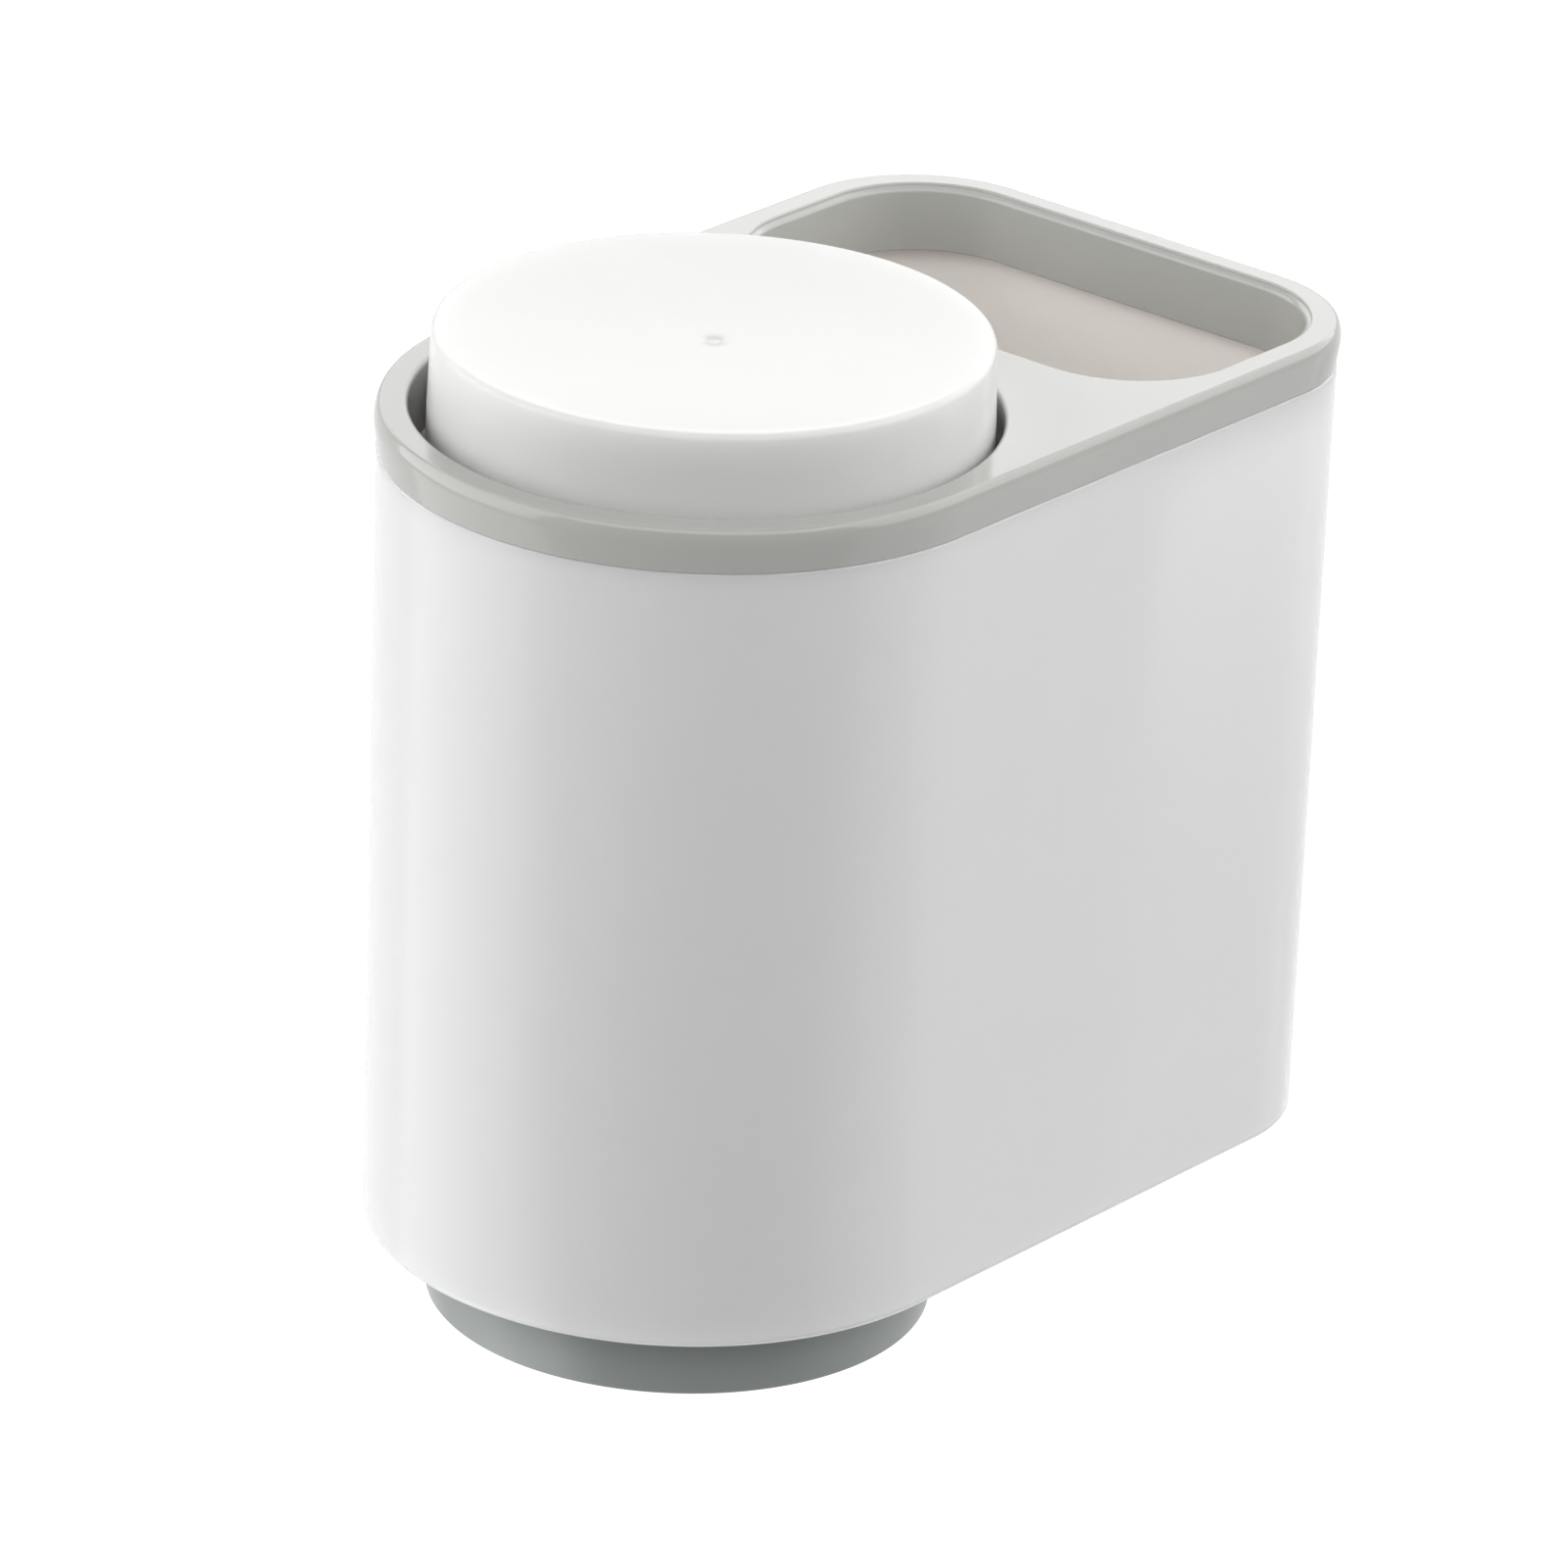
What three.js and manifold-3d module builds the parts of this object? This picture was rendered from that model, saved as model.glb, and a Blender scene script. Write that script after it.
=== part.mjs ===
// Wall-mounted toothbrush holder with a rinse cup stored upside down, in millimetres, +Z up.
// The origin is the middle of the adhesive pad's wall side: the wall is y = 0 and the front faces -Y.
import * as THREE from 'three';
import { mergeVertices } from 'three/addons/utils/BufferGeometryUtils.js';
import Module from 'manifold-3d';

const wasm = await Module();
wasm.setup();

// Rinse cup
const cupHeight = 100.6;
const cupRimRadius = 35.7;
const cupTaper = 1.45; // how much narrower the base is than the rim
const cupWall = 1.7;
const cupBase = 2.2;
const cupDish = 1.2; // how far the base is hollowed at its middle
const cupLand = 1.2; // flat ring round that hollow
const gateRadius = 1.4; // moulding mark in the middle of the base
const gateDepth = 0.5;

// Outer shell
const shellHeight = 102.4;
const shellWall = 1.8;
const shellFloor = 2;
const shellDraft = 0.6; // how far each side draws in from the rim to the underside
const shellEdge = 1.2; // rounding of the underside's edge

// Top frame
const bandHeight = 5.5; // grey band above the shell's rim
const deckThickness = 2.2;
const frameEdge = 1.3; // rounding of the band's top edge
const collarDepth = 3.3; // reach of the collar below the shell's rim
const collarWall = 1; // collar of the brush mouth
const holeCollarWall = 1.4; // collar of the cup hole
const webGap = 1.4; // hollow under the web, between the two collars
const mouthDepth = 42.4; // brush mouth, front to back
const mouthCorner = 15.2;

// Divider panel and its ribs
const dividerThickness = 1.6;
const ribWidth = 1.6;
const ribReach = 3;

// Drip tray, its seal and its socket
const trayInset = 5.2; // from the cup's rim in to the tray's neck
const trayFloor = 1.8;
const trayDrop = 9.7; // height of the foot below the shell
const trayFootStep = 0.7; // foot wider than the neck at its bottom
const trayFootFlare = 1.8; // how much wider the foot is at its top
const trayFootEdge = 0.6;
const sealHeight = 2.6;
const sealStand = 1; // how far the seal stands out of the neck
const sealGrooveDepth = 0.9;
const sealGrooveBacking = 1.1; // neck wall left behind the groove
const sealLand = 3.8; // neck above the groove
const socketHeight = 14;
const socketWall = 1.8;

// Cup rest
const restThickness = 2;
const restRibHeight = 0.8;
const restRibWidth = 3;
const restRibCount = 6;
const restRingDepth = 2; // locating ring inside the socket's mouth
const restRingWall = 1.5;
const ventWidth = 4;
const ventWeb = 1.7; // between vents, at their inner ends
const ventInner = 11;
const ventMargin = 4; // from the vents out to the locating ring
const ventHub = 4;

// Brush rest and the drain slots under it
const brushRestThickness = 2;
const brushFootHeight = 3;
const brushFootRadius = 2.5;
const brushSlotWidth = 4;
const brushSlotWeb = 4; // between slots
const brushSlotMargin = 7; // from the slots out to the edge
const drainWidth = 3;
const drainMargin = 2; // how much shorter a drain slot is than the slot above it, at each end

// Wall plate, hooks, pad and bumpers
const plateWidth = 40;
const plateThickness = 2;
const plateCorner = 5;
const plateHeadroom = 20; // from the plate's top up to the frame's collar
const padThickness = 0.8;
const padMargin = 1.5; // plate showing round the pad
const hookWidth = 8;
const hookMargin = 5; // from the hooks out to the plate's sides
const hookDrop = 17; // from the plate's top down to the hook stems
const hookStem = 4;
const hookLip = 1.6;
const hookLipHeight = 5;
const wallGap = 0.6; // between the shell's back and the wall
const bumperRadius = 4.5;
const bumperMargin = 2.2; // from the bumpers out to the back's round corners
const bumperLevel = 8.4; // middle of the bumpers above the shell's underside
const bumperBacking = 1; // shell wall left behind the bumpers

// Clearances
const cupClearance = 0.8; // cup rim in the frame's hole
const collarFit = 0.3; // collars in the shell
const dividerFit = 0.3;
const sealFit = 0.3; // seal in the socket
const grooveFit = 0.2; // seal in its groove
const restFit = 0.4; // rests in the openings they drop through
const plateFit = 0.4; // wall plate in the shell's pocket
const hookFit = 0.4; // hooks in their slots
const hookPlay = 0.6; // lift beyond the hooks' lips
const bumperFit = 0.3;
const seatGap = 0.2; // between pieces that rest on each other
const cutMargin = 1; // how far cutting bodies run past what they cut

// Facets
const roundSteps = 48;
const cornerSteps = 7;
const edgeSteps = 2;
const dishSteps = 5;

// Sizes that follow from the ones above
const cupBaseRadius = cupRimRadius - cupTaper;
const holeRadius = cupRimRadius + cupClearance;
const halfWidth = holeRadius + holeCollarWall + collarFit + shellWall;
const mouthHalf = halfWidth - shellWall - collarFit - collarWall;
const mouthFront = holeRadius + holeCollarWall + webGap + collarWall;
const mouthBack = mouthFront + mouthDepth;
const shellBack = mouthBack + collarWall + collarFit + shellWall;
const mouthRound = Math.min(mouthCorner, mouthDepth / 2, mouthHalf);
const rearCorner = mouthRound + halfWidth - mouthHalf;
const frameBottom = shellHeight + seatGap;
const deckTop = frameBottom + bandHeight;
const collarBottom = shellHeight - collarDepth;
const dividerY = holeRadius + holeCollarWall + webGap / 2;
const trayNeckRadius = cupRimRadius - trayInset;
const trayFootRadius = trayNeckRadius + trayFootStep;
const trayWall = sealGrooveDepth + sealGrooveBacking;
const socketRadius = trayNeckRadius + sealStand + sealFit;
const neckTop = socketHeight - restRingDepth - seatGap;
const grooveTop = neckTop - sealLand;
const grooveBottom = grooveTop - sealHeight - 2 * grooveFit;
const restBottom = socketHeight + seatGap;
const restTop = restBottom + restThickness;
const restRadius = holeRadius - restFit;
const cupRim = restTop + restRibHeight + seatGap;
const ringRadius = socketRadius - restFit;
const plateFront = padThickness + plateThickness; // from the wall
const pocketFloor = plateFront + plateFit; // from the wall
const hookTravel = hookLipHeight + hookPlay;
const pocketBottom = bumperLevel + bumperRadius + bumperFit + shellWall;
const plateBottom = pocketBottom + hookTravel + plateFit;
const plateTop = collarBottom - plateHeadroom;
const plateLevel = (plateBottom + plateTop) / 2;
const hookTop = plateTop - hookDrop;
const hookReach = pocketFloor + shellWall + hookFit + hookLip; // from the wall
const hookX = plateWidth / 2 - hookMargin - hookWidth / 2;
const bumperX = halfWidth - rearCorner - bumperMargin - bumperRadius;
const bumperDepth = wallGap + shellWall - bumperBacking;
const wallY = shellBack + wallGap;
const brushRestHalf = mouthHalf - restFit;
const brushRestFront = mouthFront + restFit;
const brushRestBack = wallY - hookReach - restFit;
const brushSlotY = (brushRestFront + brushRestBack) / 2;
const brushSlotLength = brushRestBack - brushRestFront - 2 * brushSlotMargin;
const slotPitch = brushSlotWidth + brushSlotWeb;
const slotCount = Math.floor((2 * brushRestHalf - 2 * brushSlotMargin + brushSlotWeb) / slotPitch);

// Points of an arc of a circle, angles in quarter turns from +X
function arc(x, y, radius, from, to, steps) {
  const quarter = Math.PI / 2;
  const curve = new THREE.EllipseCurve(x, y, radius, radius, from * quarter, to * quarter, to < from);
  return curve.getPoints(steps);
}

// A closed shape through lists of points, without repeated points
function shapeOf(...lists) {
  const least = 1e-4;
  const points = lists.flat().filter((point, i, all) => point.distanceTo(all.at(i - 1)) > least);
  return new THREE.Shape(points);
}

function circle(x, y, radius, steps = roundSteps) {
  return shapeOf(arc(x, y, radius, 0, 4, steps));
}

// Rounded rectangle between two corners
function roundedRectangle(left, front, right, back, radius) {
  return shapeOf(
    arc(right - radius, front + radius, radius, 3, 4, cornerSteps),
    arc(right - radius, back - radius, radius, 0, 1, cornerSteps),
    arc(left + radius, back - radius, radius, 1, 2, cornerSteps),
    arc(left + radius, front + radius, radius, 2, 3, cornerSteps),
  );
}

// Plan of the body, round in front and square behind, moved in by an inset
function bodyPlan(inset) {
  const half = halfWidth - inset;
  const back = shellBack - inset;
  const corner = rearCorner - inset;
  return shapeOf(
    arc(0, 0, half, 2, 4, roundSteps / 2),
    arc(half - corner, back - corner, corner, 0, 1, cornerSteps),
    arc(corner - half, back - corner, corner, 1, 2, cornerSteps),
  );
}

function mouthPlan(outset) {
  const half = mouthHalf + outset;
  return roundedRectangle(-half, mouthFront - outset, half, mouthBack + outset, mouthRound + outset);
}

// A slot with round ends along Y
function slotPlan(x, y, width, length) {
  const radius = width / 2;
  const run = length / 2 - radius;
  return shapeOf(arc(x, y + run, radius, 0, 2, cornerSteps), arc(x, y - run, radius, 2, 4, cornerSteps));
}

// A slot with flat ends that points away from the axis
function spokePlan(angle, width, inner, outer) {
  const side = width / 2;
  const corners = [[inner, -side], [outer, -side], [outer, side], [inner, side]];
  return shapeOf(corners.map(([x, y]) => new THREE.Vector2(x, y).rotateAround(new THREE.Vector2(), angle)));
}

// An upright prism of a shape, with its bottom and top edges rounded
function prism(shape, bottom, top, edge = 0) {
  const geometry = new THREE.ExtrudeGeometry(shape, {
    depth: top - bottom - 2 * edge,
    bevelEnabled: edge > 0,
    bevelThickness: edge,
    bevelSize: edge,
    bevelOffset: -edge,
    bevelSegments: edgeSteps,
  });
  return geometry.translate(0, 0, bottom + edge);
}

// A prism of a shape drawn on the X-Z plane, between two distances in front of the wall
function wallPrism(shape, near, far) {
  const geometry = new THREE.ExtrudeGeometry(shape, { depth: far - near, bevelEnabled: false });
  return geometry.rotateX(Math.PI / 2).translate(0, wallY - near, 0);
}

// A turned body about the Z axis from a profile of radius and height
function turned(profile) {
  const points = profile.map(([radius, height]) => new THREE.Vector2(radius, height));
  return new THREE.LatheGeometry(points, roundSteps).rotateX(Math.PI / 2);
}

function box(left, front, bottom, right, back, top) {
  const geometry = new THREE.BoxGeometry(right - left, back - front, top - bottom);
  return geometry.translate((left + right) / 2, (front + back) / 2, (bottom + top) / 2);
}

// Draw a body in towards the underside, all round but at its flat back
function drawIn(geometry) {
  const position = geometry.getAttribute('position');
  for (let i = 0; i < position.count; i++) {
    const inset = shellDraft * (1 - position.getZ(i) / shellHeight);
    const scale = 1 - inset / halfWidth;
    const y = position.getY(i);
    position.setX(i, position.getX(i) * scale);
    position.setY(i, Math.max(y, y * scale));
  }
  return geometry;
}

// A solid that can be joined and cut, from a closed geometry
function solid(geometry) {
  geometry.deleteAttribute('normal');
  geometry.deleteAttribute('uv');
  const merged = mergeVertices(geometry);
  const corners = merged.getIndex().array;
  const triangles = [];
  for (let i = 0; i < corners.length; i += 3) {
    const [a, b, c] = corners.slice(i, i + 3);
    if (a !== b && b !== c && c !== a) triangles.push(a, b, c);
  }
  const vertProperties = new Float32Array(merged.getAttribute('position').array);
  const triVerts = new Uint32Array(triangles);
  return new wasm.Manifold(new wasm.Mesh({ numProp: 3, vertProperties, triVerts }));
}

function material(color, roughness) {
  return new THREE.MeshStandardMaterial({ color, roughness, metalness: 0 });
}

function piece(name, body, look) {
  const { vertProperties, triVerts } = body.getMesh();
  const geometry = new THREE.BufferGeometry();
  geometry.setAttribute('position', new THREE.BufferAttribute(new Float32Array(vertProperties), 3));
  geometry.setIndex(new THREE.BufferAttribute(new Uint32Array(triVerts), 1));
  geometry.computeVertexNormals();
  const mesh = new THREE.Mesh(geometry, look);
  mesh.name = name;
  return mesh;
}

// Pocket in the shell's back for the wall plate, moved out by a margin
function pocketPlan(margin) {
  const half = plateWidth / 2 + plateFit + margin;
  const top = plateTop + plateFit + margin;
  return roundedRectangle(-half, pocketBottom - margin, half, top, plateCorner + plateFit + margin);
}

function bumperPlan(x, radius) {
  return circle(x, bumperLevel, radius, roundSteps / 2);
}

// Places of the slots side by side in the brush bay
function slotPlaces(count) {
  return Array.from({ length: count }, (_, i) => (i - (count - 1) / 2) * slotPitch);
}

function outerShell() {
  const cutTop = shellHeight + 2 * shellEdge;
  const raised = solid(drawIn(prism(bodyPlan(0), 0, cutTop, shellEdge)));
  const outside = raised.subtract(solid(prism(bodyPlan(-cutMargin), shellHeight, cutTop + cutMargin)));
  const hollow = drawIn(prism(bodyPlan(shellWall), shellFloor, shellHeight + cutMargin));
  let shell = outside.subtract(solid(hollow));

  // Socket for the drip tray's neck
  const socketOuter = circle(0, 0, socketRadius + socketWall);
  shell = shell.add(solid(prism(socketOuter, shellFloor / 2, socketHeight)));
  shell = shell.subtract(solid(prism(circle(0, 0, socketRadius), -cutMargin, socketHeight + cutMargin)));

  // Ribs that hold the divider panel
  const ribMiddle = dividerThickness / 2 + dividerFit + ribWidth / 2;
  for (const y of [dividerY - ribMiddle, dividerY + ribMiddle]) {
    const inner = halfWidth - shellWall - shellDraft - ribReach;
    const front = y - ribWidth / 2;
    const back = y + ribWidth / 2;
    const top = collarBottom - seatGap;
    const right = solid(box(inner, front, shellFloor / 2, halfWidth, back, top));
    const left = solid(box(-halfWidth, front, shellFloor / 2, -inner, back, top));
    shell = shell.add(right.intersect(outside)).add(left.intersect(outside));
  }

  // Pocket for the wall plate, with slots for its hooks
  const pocketBack = solid(wallPrism(pocketPlan(shellWall), wallGap, pocketFloor + shellWall));
  shell = shell.add(pocketBack.intersect(outside));
  shell = shell.subtract(solid(wallPrism(pocketPlan(0), 0, pocketFloor)));
  const slotBottom = hookTop - hookStem - hookTravel - hookFit;
  for (const x of [-hookX, hookX]) {
    const half = hookWidth / 2 + hookFit;
    const near = wallY - pocketFloor - shellWall - cutMargin;
    const far = wallY - pocketFloor + cutMargin;
    shell = shell.subtract(solid(box(x - half, near, slotBottom, x + half, far, hookTop + seatGap)));
  }

  // Recesses for the bumpers
  for (const x of [-bumperX, bumperX]) {
    const recess = wallPrism(bumperPlan(x, bumperRadius + bumperFit), 0, bumperDepth);
    shell = shell.subtract(solid(recess));
  }

  // Drain slots under the brush rest, but not under its outer slots
  for (const x of slotPlaces(slotCount - 2)) {
    const plan = slotPlan(x, brushSlotY, drainWidth, brushSlotLength - 2 * drainMargin);
    shell = shell.subtract(solid(prism(plan, -cutMargin, shellFloor + cutMargin)));
  }
  return shell;
}

function topFrame() {
  const cutBottom = frameBottom - 2 * frameEdge;
  const slab = solid(prism(bodyPlan(0), cutBottom, deckTop, frameEdge));
  const under = solid(prism(bodyPlan(-cutMargin), cutBottom - cutMargin, frameBottom));
  const collar = solid(prism(bodyPlan(shellWall + collarFit), collarBottom, deckTop - frameEdge));
  const hole = prism(circle(0, 0, holeRadius), collarBottom - cutMargin, deckTop + cutMargin);
  const mouth = prism(mouthPlan(0), collarBottom - cutMargin, deckTop + cutMargin);

  // Hollow between the collars, under the deck
  const coreTop = deckTop - deckThickness;
  const coreBottom = collarBottom - cutMargin;
  const around = solid(prism(bodyPlan(shellWall + collarFit + collarWall), coreBottom, coreTop));
  const holeCollar = solid(prism(circle(0, 0, holeRadius + holeCollarWall), coreBottom, coreTop));
  const mouthCollar = solid(prism(mouthPlan(collarWall), coreBottom, coreTop));
  const core = around.subtract(holeCollar).subtract(mouthCollar);
  return slab.subtract(under).add(collar).subtract(solid(hole)).subtract(solid(mouth)).subtract(core);
}

function rinseCup() {
  const top = cupRim + cupHeight;
  const landRadius = cupBaseRadius - cupLand;
  const profile = [
    [0, top - cupDish - cupBase],
    [cupBaseRadius - cupWall, top - cupBase],
    [cupRimRadius - cupWall, cupRim],
    [cupRimRadius, cupRim],
    [cupBaseRadius, top],
  ];
  for (let i = 0; i <= dishSteps; i++) {
    const radius = THREE.MathUtils.lerp(landRadius, 2 * gateRadius, i / dishSteps);
    profile.push([radius, top - cupDish * (1 - (radius / landRadius) ** 2)]);
  }
  profile.push([gateRadius, top - cupDish], [gateRadius, top - cupDish - gateDepth]);
  profile.push([0, top - cupDish - gateDepth]);
  return solid(turned(profile));
}

function dividerPanel() {
  const bottom = shellFloor + seatGap;
  const top = collarBottom - seatGap;
  const half = (height) => {
    const inset = shellDraft * (1 - height / shellHeight);
    return (halfWidth - shellWall) * (1 - inset / halfWidth) - dividerFit;
  };
  const corners = [[-half(bottom), bottom], [half(bottom), bottom], [half(top), top], [-half(top), top]];
  const plan = shapeOf(corners.map(([x, z]) => new THREE.Vector2(x, z)));
  const near = wallY - dividerY - dividerThickness / 2;
  return solid(wallPrism(plan, near, near + dividerThickness));
}

function dripTray() {
  const footTop = -seatGap;
  const grooveRadius = trayNeckRadius - sealGrooveDepth;
  const inside = trayNeckRadius - trayWall;
  return solid(turned([
    [0, -trayDrop],
    [trayFootRadius - trayFootEdge, -trayDrop],
    [trayFootRadius, trayFootEdge - trayDrop],
    [trayFootRadius + trayFootFlare, footTop],
    [trayNeckRadius, footTop],
    [trayNeckRadius, grooveBottom],
    [grooveRadius, grooveBottom],
    [grooveRadius, grooveTop],
    [trayNeckRadius, grooveTop],
    [trayNeckRadius, neckTop],
    [inside, neckTop],
    [inside, trayFloor - trayDrop],
    [0, trayFloor - trayDrop],
  ]));
}

function traySeal() {
  const inner = trayNeckRadius - sealGrooveDepth + grooveFit;
  const outer = trayNeckRadius + sealStand;
  const bottom = grooveBottom + grooveFit;
  const top = bottom + sealHeight;
  const bead = (outer - inner) / 3;
  return solid(turned([
    [inner, bottom],
    [outer - bead, bottom],
    [outer, bottom + bead],
    [outer, top - bead],
    [outer - bead, top],
    [inner, top],
    [inner, bottom],
  ]));
}

function cupRest() {
  const plan = circle(0, 0, restRadius);
  plan.holes.push(circle(0, 0, ventHub, roundSteps / 2));
  const ventOuter = ringRadius - restRingWall - ventMargin;
  const ventCount = Math.floor((2 * Math.PI * ventInner) / (ventWidth + ventWeb));
  for (let i = 0; i < ventCount; i++) {
    plan.holes.push(spokePlan((i / ventCount) * 2 * Math.PI, ventWidth, ventInner, ventOuter));
  }
  let rest = solid(prism(plan, restBottom, restTop));
  const ring = circle(0, 0, ringRadius);
  ring.holes.push(circle(0, 0, ringRadius - restRingWall));
  rest = rest.add(solid(prism(ring, socketHeight - restRingDepth, restBottom + restThickness / 2)));
  for (let i = 0; i < restRibCount; i++) {
    const angle = (i / restRibCount) * 2 * Math.PI;
    const rib = spokePlan(angle, restRibWidth, cupRimRadius - 2 * cupWall, restRadius - restFit);
    rest = rest.add(solid(prism(rib, restBottom + restThickness / 2, restTop + restRibHeight)));
  }
  return rest;
}

function brushRest() {
  const bottom = shellFloor + seatGap;
  const footTop = bottom + brushFootHeight;
  const corner = Math.min(mouthRound, (brushRestBack - brushRestFront) / 2);
  const plan = roundedRectangle(-brushRestHalf, brushRestFront, brushRestHalf, brushRestBack, corner);
  for (const x of slotPlaces(slotCount)) {
    plan.holes.push(slotPlan(x, brushSlotY, brushSlotWidth, brushSlotLength));
  }
  let rest = solid(prism(plan, footTop, footTop + brushRestThickness));
  const footX = brushRestHalf - corner;
  const footInset = brushFootRadius + restFit;
  for (const x of [-footX, footX]) {
    for (const y of [brushRestFront + footInset, brushRestBack - footInset]) {
      const foot = circle(x, y, brushFootRadius, roundSteps / 3);
      rest = rest.add(solid(prism(foot, bottom, footTop + brushRestThickness / 2)));
    }
  }
  return rest;
}

function wallPlate() {
  const half = plateWidth / 2;
  const plan = roundedRectangle(-half, plateBottom, half, plateTop, plateCorner);
  let plate = solid(wallPrism(plan, padThickness, plateFront));
  for (const x of [-hookX, hookX]) {
    const left = x - hookWidth / 2;
    const right = x + hookWidth / 2;
    const tip = wallY - hookReach;
    const root = wallY - plateFront + plateThickness / 2;
    const stem = solid(box(left, tip, hookTop - hookStem, right, root, hookTop));
    const lip = solid(box(left, tip, hookTop - hookStem, right, tip + hookLip, hookTop + hookLipHeight));
    plate = plate.add(stem).add(lip);
  }
  return plate;
}

function adhesivePad() {
  const half = plateWidth / 2 - padMargin;
  const corner = Math.max(plateCorner - padMargin, padMargin);
  const plan = roundedRectangle(-half, plateBottom + padMargin, half, plateTop - padMargin, corner);
  return solid(wallPrism(plan, 0, padThickness));
}

function wallBumper(x) {
  return solid(wallPrism(bumperPlan(x, bumperRadius), 0, bumperDepth));
}

// Finishes
const white = material(0xf1f2f2, 0.25);
const warmWhite = material(0xf4f3ef, 0.35);
const lightGrey = material(0xc4c5c2, 0.3);
const midGrey = material(0x9da2a1, 0.4);
const foamGrey = material(0xd9d9d4, 0.9);
const rubberGrey = material(0x777b7b, 0.8);

const housing = new THREE.Group();
housing.add(
  piece('outer_shell', outerShell(), white),
  piece('top_frame', topFrame(), lightGrey),
  piece('divider_panel', dividerPanel(), warmWhite),
  piece('cup_rest', cupRest(), lightGrey),
  piece('brush_rest', brushRest(), lightGrey),
  piece('wall_bumper_left', wallBumper(-bumperX), rubberGrey),
  piece('wall_bumper_right', wallBumper(bumperX), rubberGrey),
);

const cup = new THREE.Group();
cup.add(piece('rinse_cup', rinseCup(), warmWhite));

const tray = new THREE.Group();
tray.add(piece('drip_tray', dripTray(), midGrey), piece('tray_seal', traySeal(), rubberGrey));

const wallMount = new THREE.Group();
wallMount.add(piece('wall_plate', wallPlate(), lightGrey), piece('adhesive_pad', adhesivePad(), foamGrey));

const holder = new THREE.Group();
holder.add(wallMount, housing, cup, tray);
holder.position.set(0, -wallY, -plateLevel);

export default holder;
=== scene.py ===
import math

import bmesh
import bpy
from mathutils import Matrix, Vector


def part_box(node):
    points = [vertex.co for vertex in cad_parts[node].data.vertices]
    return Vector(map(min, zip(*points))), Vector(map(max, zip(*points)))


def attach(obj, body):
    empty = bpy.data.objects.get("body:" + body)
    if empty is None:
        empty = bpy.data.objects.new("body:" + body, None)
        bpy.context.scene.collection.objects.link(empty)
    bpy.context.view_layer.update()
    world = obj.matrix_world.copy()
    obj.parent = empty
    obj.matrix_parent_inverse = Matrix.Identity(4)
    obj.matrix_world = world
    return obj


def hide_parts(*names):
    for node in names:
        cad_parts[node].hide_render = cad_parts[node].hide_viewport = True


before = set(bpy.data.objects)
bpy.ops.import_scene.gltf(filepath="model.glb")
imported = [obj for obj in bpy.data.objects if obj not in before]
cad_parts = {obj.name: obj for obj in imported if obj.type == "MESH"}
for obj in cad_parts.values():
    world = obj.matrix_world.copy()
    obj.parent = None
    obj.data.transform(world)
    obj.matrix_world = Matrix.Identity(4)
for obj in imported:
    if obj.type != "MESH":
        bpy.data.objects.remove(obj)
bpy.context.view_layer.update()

# The script models in millimetres, in the frame of the solids, and makes its meshes in metres
MM = 0.001

# Walls, forms and fits of the solids, in millimetres
SHELL_WALL = 1.8
SHELL_FLOOR = 2.0
SHELL_DRAFT = 0.6
RIB_WIDTH = 1.6
RIB_REACH = 3.0
COLLAR_FIT = 0.3
COLLAR_WALL = 1.0
HOLE_COLLAR_WALL = 1.4
DECK_THICKNESS = 2.2
WEB_WIDTH = 3.8
MOUTH_CORNER = 15.2
CUP_CLEARANCE = 0.8
CUP_TAPER = 1.45
CUP_WALL = 1.7
CUP_DISH = 1.2
SEAT_GAP = 0.2  # between pieces that rest on each other
SEAL_STAND = 1.0
SEAL_FIT = 0.3
GROOVE_DEPTH = 0.9
GROOVE_FIT = 0.2
SOCKET_WALL = 1.8
SOCKET_HEIGHT = 14.0
TRAY_WALL = 2.0
TRAY_FLOOR = 1.8
TRAY_FLARE = 1.8
PLATE_THICKNESS = 2.0
PLATE_FIT = 0.4
PLATE_CORNER = 5.0
PAD_MARGIN = 1.5
HOOK_FIT = 0.4
HOOK_WIDTH = 8.0
HOOK_X = 11.0
HOOK_STEM = 4.0
HOOK_LIP = 1.6
HOOK_LIP_HEIGHT = 5.0
HOOK_DROP = 17.0
HOOK_SPARE = 0.6  # lift beyond the height of the hooks' lips
BUMPER_FIT = 0.3
REST_FIT = 0.4
REST_THICKNESS = 2.0
REST_RIB_HEIGHT = 0.8
REST_RIB_WIDTH = 3.0
REST_RIB_COUNT = 6
REST_RING_WALL = 1.5
VENT_WIDTH = 4.0
VENT_COUNT = 12
VENT_INNER = 11.0
VENT_MARGIN = 4.0
VENT_HUB = 4.0
BRUSH_REST_THICKNESS = 2.0
BRUSH_FOOT_RADIUS = 2.5
BRUSH_SLOT_WIDTH = 4.0
BRUSH_SLOT_PITCH = 8.0
BRUSH_SLOT_COUNT = 7
BRUSH_SLOT_MARGIN = 7.0
DRAIN_WIDTH = 3.0
DRAIN_MARGIN = 2.0
DRAIN_COUNT = BRUSH_SLOT_COUNT - 2
DIVIDER_FIT = 0.3

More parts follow.
